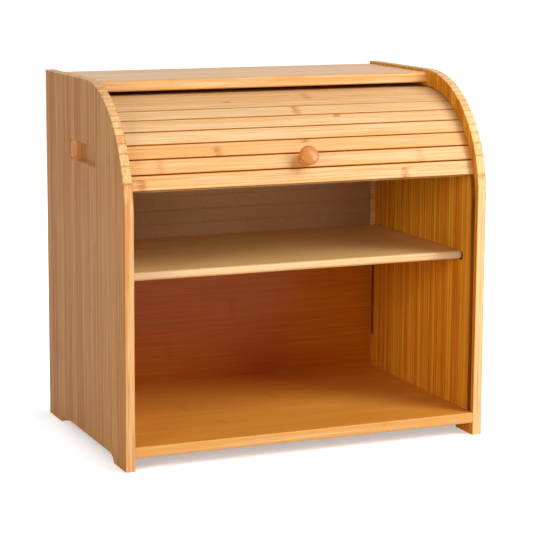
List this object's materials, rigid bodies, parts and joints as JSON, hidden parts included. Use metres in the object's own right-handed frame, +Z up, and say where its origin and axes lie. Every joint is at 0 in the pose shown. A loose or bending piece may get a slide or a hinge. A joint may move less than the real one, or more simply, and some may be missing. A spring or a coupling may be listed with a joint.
{
  "type": "roll-top bread box",
  "caption": "Two-tier bread box in laminated bamboo, with a slatted roll-top door and turned knob over the upper tier and an open lower tier.",
  "frame": {"origin": "middle of the base of the part's box, on the surface that the feet stand on, with the door as pictured", "axes": "+Z up, -Y out of the front where the door and the open tier face, +X to the right as the front is seen"},
  "size_m": [0.39, 0.254, 0.372],
  "materials": {
    "side_bamboo": "satin lacquer, upright strips",
    "panel_bamboo": "satin lacquer, strips across the width",
    "slat_bamboo": "satin lacquer, grain along each slat",
    "knob_wood": "turned, gloss lacquer",
    "dowel_wood": "turned, raw",
    "canvas": "plain woven cotton",
    "screw_steel": "zinc plated"
  },
  "bodies": {
    "root": {"left_side_panel": "side_bamboo", "right_side_panel": "side_bamboo", "bottom_panel": "panel_bamboo", "shelf": "panel_bamboo", "top_panel": "panel_bamboo", "back_panel": "panel_bamboo", "canvas_backing": "canvas", "top_dowels": "dowel_wood", "bottom_dowels": "dowel_wood", "back_dowels": "dowel_wood"},
    "door_slat_01": {"slat_01": "slat_bamboo"},
    "door_handle_slat": {"slat_02": "slat_bamboo", "knob": "knob_wood", "knob_screw": "screw_steel"},
    "door_slat_03": {"slat_03": "slat_bamboo"},
    "door_slat_04": {"slat_04": "slat_bamboo"},
    "door_slat_05": {"slat_05": "slat_bamboo"},
    "door_slat_06": {"slat_06": "slat_bamboo"},
    "door_slat_07": {"slat_07": "slat_bamboo"},
    "door_slat_08": {"slat_08": "slat_bamboo"},
    "door_slat_09": {"slat_09": "slat_bamboo"},
    "door_slat_10": {"slat_10": "slat_bamboo"},
    "door_slat_11": {"slat_11": "slat_bamboo"},
    "door_slat_12": {"slat_12": "slat_bamboo"},
    "door_slat_13": {"slat_13": "slat_bamboo"},
    "door_slat_14": {"slat_14": "slat_bamboo"},
    "door_slat_15": {"slat_15": "slat_bamboo"},
    "door_slat_16": {"slat_16": "slat_bamboo"},
    "door_slat_17": {"slat_17": "slat_bamboo"},
    "door_slat_18": {"slat_18": "slat_bamboo"},
    "door_slat_19": {"slat_19": "slat_bamboo"},
    "door_slat_20": {"slat_20": "slat_bamboo"},
    "door_slat_21": {"slat_21": "slat_bamboo"},
    "door_slat_22": {"slat_22": "slat_bamboo"},
    "door_slat_23": {"slat_23": "slat_bamboo"},
    "door_slat_24": {"slat_24": "slat_bamboo"},
    "door_slat_25": {"slat_25": "slat_bamboo"},
    "door_slat_26": {"slat_26": "slat_bamboo"},
    "door_slat_27": {"slat_27": "slat_bamboo"}
  },
  "joints": [
    {"name": "door_roll", "type": "hinge", "parent": "root", "child": "door_handle_slat", "pos_m": [0, 0.3902, 0.14495], "axis": [1, 0, 0], "range_deg": [0, 27.44], "deforming": ["slat_01", "slat_02", "slat_03", "slat_04", "slat_05", "slat_06", "slat_07", "slat_08", "slat_09", "slat_10", "slat_11", "slat_12", "slat_13", "slat_14", "slat_15", "slat_16", "slat_17", "slat_18", "slat_19", "slat_20", "slat_21", "slat_22", "slat_23", "slat_24", "slat_25", "slat_26", "slat_27", "canvas_backing"]},
    {"name": "slat_01_roll", "type": "hinge", "parent": "root", "child": "door_slat_01", "pos_m": [0, 0.60891, 0.13745], "axis": [1, 0, 0], "range_deg": [0, 19.3]},
    {"name": "slat_03_roll", "type": "hinge", "parent": "root", "child": "door_slat_03", "pos_m": [0, 0.2712, 0.15245], "axis": [1, 0, 0], "range_deg": [0, 35.61]},
    {"name": "slat_04_roll", "type": "hinge", "parent": "root", "child": "door_slat_04", "pos_m": [0, 0.19635, 0.15995], "axis": [1, 0, 0], "range_deg": [0, 43.77]},
    {"name": "slat_05_roll", "type": "hinge", "parent": "root", "child": "door_slat_05", "pos_m": [0, 0.14497, 0.16745], "axis": [1, 0, 0], "range_deg": [0, 51.93]},
    {"name": "slat_06_roll", "type": "hinge", "parent": "root", "child": "door_slat_06", "pos_m": [0, 0.10767, 0.17495], "axis": [1, 0, 0], "range_deg": [0, 60.09]},
    {"name": "slat_07_roll", "type": "hinge", "parent": "root", "child": "door_slat_07", "pos_m": [0, 0.0795, 0.18245], "axis": [1, 0, 0], "range_deg": [0, 68.25]},
    {"name": "slat_08_roll", "type": "hinge", "parent": "root", "child": "door_slat_08", "pos_m": [0, 0.05767, 0.18995], "axis": [1, 0, 0], "range_deg": [0, 76.4]},
    {"name": "slat_09_roll", "type": "hinge", "parent": "root", "child": "door_slat_09", "pos_m": [0, 0.04045, 0.19745], "axis": [1, 0, 0], "range_deg": [0, 84.56]},
    {"name": "slat_10_roll", "type": "hinge", "parent": "root", "child": "door_slat_10", "pos_m": [0, 0.03093, 0.20247], "axis": [1, 0, 0], "range_deg": [0, 90.02]},
    {"name": "slat_11_roll", "type": "hinge", "parent": "root", "child": "door_slat_11", "pos_m": [0, 0.03093, 0.20247], "axis": [1, 0, 0], "range_deg": [0, 90.02]},
    {"name": "slat_12_roll", "type": "hinge", "parent": "root", "child": "door_slat_12", "pos_m": [0, 0.03093, 0.20247], "axis": [1, 0, 0], "range_deg": [0, 90.02]},
    {"name": "slat_13_roll", "type": "hinge", "parent": "root", "child": "door_slat_13", "pos_m": [0, 0.03093, 0.20247], "axis": [1, 0, 0], "range_deg": [0, 90.02]},
    {"name": "slat_14_roll", "type": "hinge", "parent": "root", "child": "door_slat_14", "pos_m": [0, 0.03093, 0.20247], "axis": [1, 0, 0], "range_deg": [0, 90.02]},
    {"name": "slat_15_roll", "type": "hinge", "parent": "root", "child": "door_slat_15", "pos_m": [0, 0.03098, 0.20238], "axis": [1, 0, 0], "range_deg": [0, 89.97]},
    {"name": "slat_16_roll", "type": "hinge", "parent": "root", "child": "door_slat_16", "pos_m": [0, 0.03162, 0.20229], "axis": [1, 0, 0], "range_deg": [0, 89.69]},
    {"name": "slat_17_roll", "type": "hinge", "parent": "root", "child": "door_slat_17", "pos_m": [0, 0.01774, 0.23738], "axis": [1, 0, 0], "range_deg": [0, 112.96]},
    {"name": "slat_18_roll", "type": "hinge", "parent": "root", "child": "door_slat_18", "pos_m": [0, 0.01029, 0.265], "axis": [1, 0, 0], "range_deg": [0, 136.23]},
    {"name": "slat_19_roll", "type": "hinge", "parent": "root", "child": "door_slat_19", "pos_m": [0, 0.00818, 0.27656], "axis": [1, 0, 0], "range_deg": [0, 147.33]},
    {"name": "slat_20_roll", "type": "hinge", "parent": "root", "child": "door_slat_20", "pos_m": [0, 0.00825, 0.26854], "axis": [1, 0, 0], "range_deg": [0, 139.18]},
    {"name": "slat_21_roll", "type": "hinge", "parent": "root", "child": "door_slat_21", "pos_m": [0, 0.00722, 0.26049], "axis": [1, 0, 0], "range_deg": [0, 131.02]},
    {"name": "slat_22_roll", "type": "hinge", "parent": "root", "child": "door_slat_22", "pos_m": [0, 0.00501, 0.2524], "axis": [1, 0, 0], "range_deg": [0, 122.86]},
    {"name": "slat_23_roll", "type": "hinge", "parent": "root", "child": "door_slat_23", "pos_m": [0, 0.00151, 0.24427], "axis": [1, 0, 0], "range_deg": [0, 114.7]},
    {"name": "slat_24_roll", "type": "hinge", "parent": "root", "child": "door_slat_24", "pos_m": [0, -0.00345, 0.23607], "axis": [1, 0, 0], "range_deg": [0, 106.54]},
    {"name": "slat_25_roll", "type": "hinge", "parent": "root", "child": "door_slat_25", "pos_m": [0, -0.01009, 0.2278], "axis": [1, 0, 0], "range_deg": [0, 98.39]},
    {"name": "slat_26_roll", "type": "hinge", "parent": "root", "child": "door_slat_26", "pos_m": [0, -0.01874, 0.21942], "axis": [1, 0, 0], "range_deg": [0, 90.23]},
    {"name": "slat_27_roll", "type": "hinge", "parent": "root", "child": "door_slat_27", "pos_m": [0, -0.01899, 0.21921], "axis": [1, 0, 0], "range_deg": [0, 90.02]}
  ],
  "couplings": [
    {"joint": "slat_01_roll", "follows": "door_roll", "ratio": 0.70267},
    {"joint": "slat_03_roll", "follows": "door_roll", "ratio": 1.2973},
    {"joint": "slat_04_roll", "follows": "door_roll", "ratio": 1.5947},
    {"joint": "slat_05_roll", "follows": "door_roll", "ratio": 1.892},
    {"joint": "slat_06_roll", "follows": "door_roll", "ratio": 2.1893},
    {"joint": "slat_07_roll", "follows": "door_roll", "ratio": 2.4867},
    {"joint": "slat_08_roll", "follows": "door_roll", "ratio": 2.784},
    {"joint": "slat_09_roll", "follows": "door_roll", "ratio": 3.0813},
    {"joint": "slat_10_roll", "follows": "door_roll", "ratio": 3.2803},
    {"joint": "slat_11_roll", "follows": "door_roll", "ratio": 3.2803},
    {"joint": "slat_12_roll", "follows": "door_roll", "ratio": 3.2803},
    {"joint": "slat_13_roll", "follows": "door_roll", "ratio": 3.2803},
    {"joint": "slat_14_roll", "follows": "door_roll", "ratio": 3.2803},
    {"joint": "slat_15_roll", "follows": "door_roll", "ratio": 3.2783},
    {"joint": "slat_16_roll", "follows": "door_roll", "ratio": 3.2684},
    {"joint": "slat_17_roll", "follows": "door_roll", "ratio": 4.1164},
    {"joint": "slat_18_roll", "follows": "door_roll", "ratio": 4.9644},
    {"joint": "slat_19_roll", "follows": "door_roll", "ratio": 5.3692},
    {"joint": "slat_20_roll", "follows": "door_roll", "ratio": 5.0719},
    {"joint": "slat_21_roll", "follows": "door_roll", "ratio": 4.7745},
    {"joint": "slat_22_roll", "follows": "door_roll", "ratio": 4.4772},
    {"joint": "slat_23_roll", "follows": "door_roll", "ratio": 4.1799},
    {"joint": "slat_24_roll", "follows": "door_roll", "ratio": 3.8825},
    {"joint": "slat_25_roll", "follows": "door_roll", "ratio": 3.5852},
    {"joint": "slat_26_roll", "follows": "door_roll", "ratio": 3.2879},
    {"joint": "slat_27_roll", "follows": "door_roll", "ratio": 3.2803}
  ]
}
